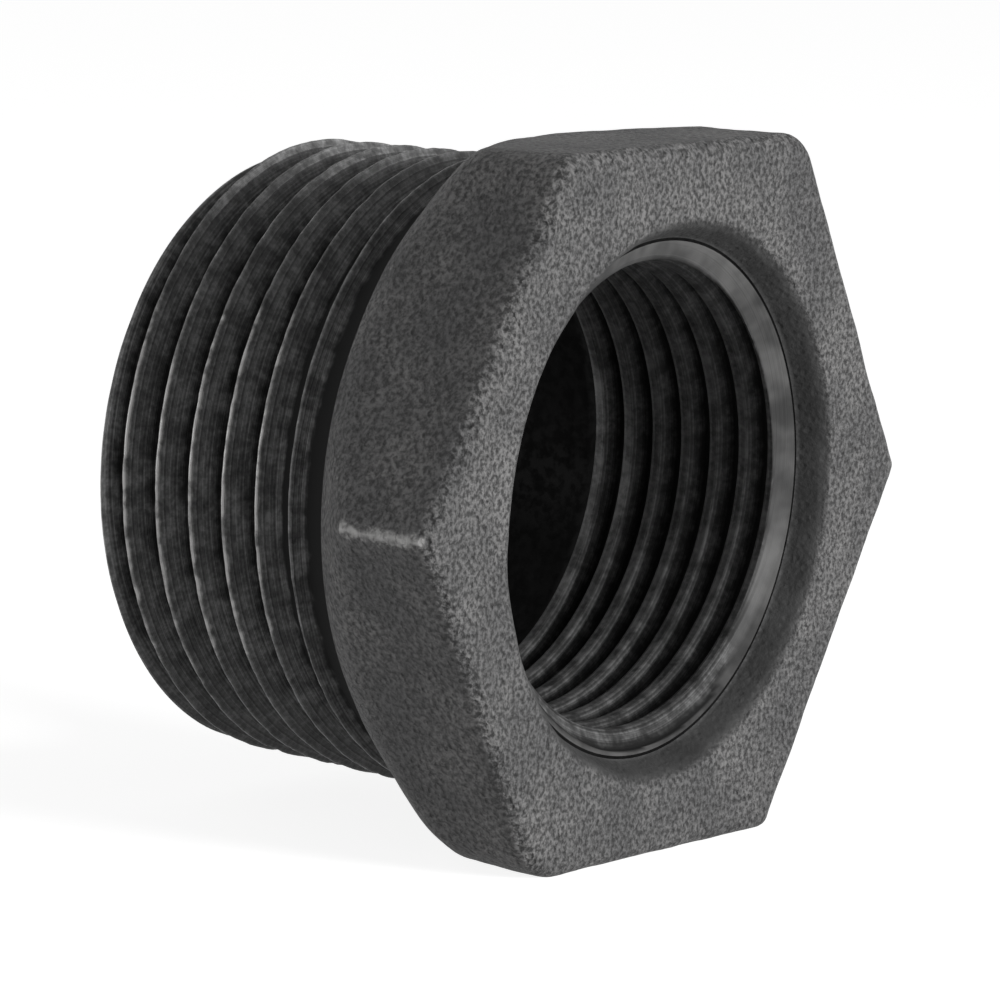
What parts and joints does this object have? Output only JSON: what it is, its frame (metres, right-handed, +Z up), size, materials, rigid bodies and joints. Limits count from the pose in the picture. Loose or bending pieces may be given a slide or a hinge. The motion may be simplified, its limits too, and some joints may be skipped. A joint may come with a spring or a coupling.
{
  "type": "hex reducing bushing",
  "caption": "Hexagon-headed reducing bushing in black cast iron, with an outside taper pipe thread and a smaller taper pipe thread in its bore.",
  "frame": {"origin": "the bore axis where it meets the plane of the hex face, at the mouth of the female thread", "axes": "+X along the bore, out of the hex face; +Y towards a corner of the hexagon; +Z up, square to two of the flats"},
  "size_m": [0.0254, 0.0424, 0.0372],
  "materials": {
    "black_iron": "sand-cast black malleable iron with a fine grain, smoother and slightly shiny where the threads are cut"
  },
  "bodies": {
    "root": {"bushing": "black_iron"}
  },
  "joints": []
}
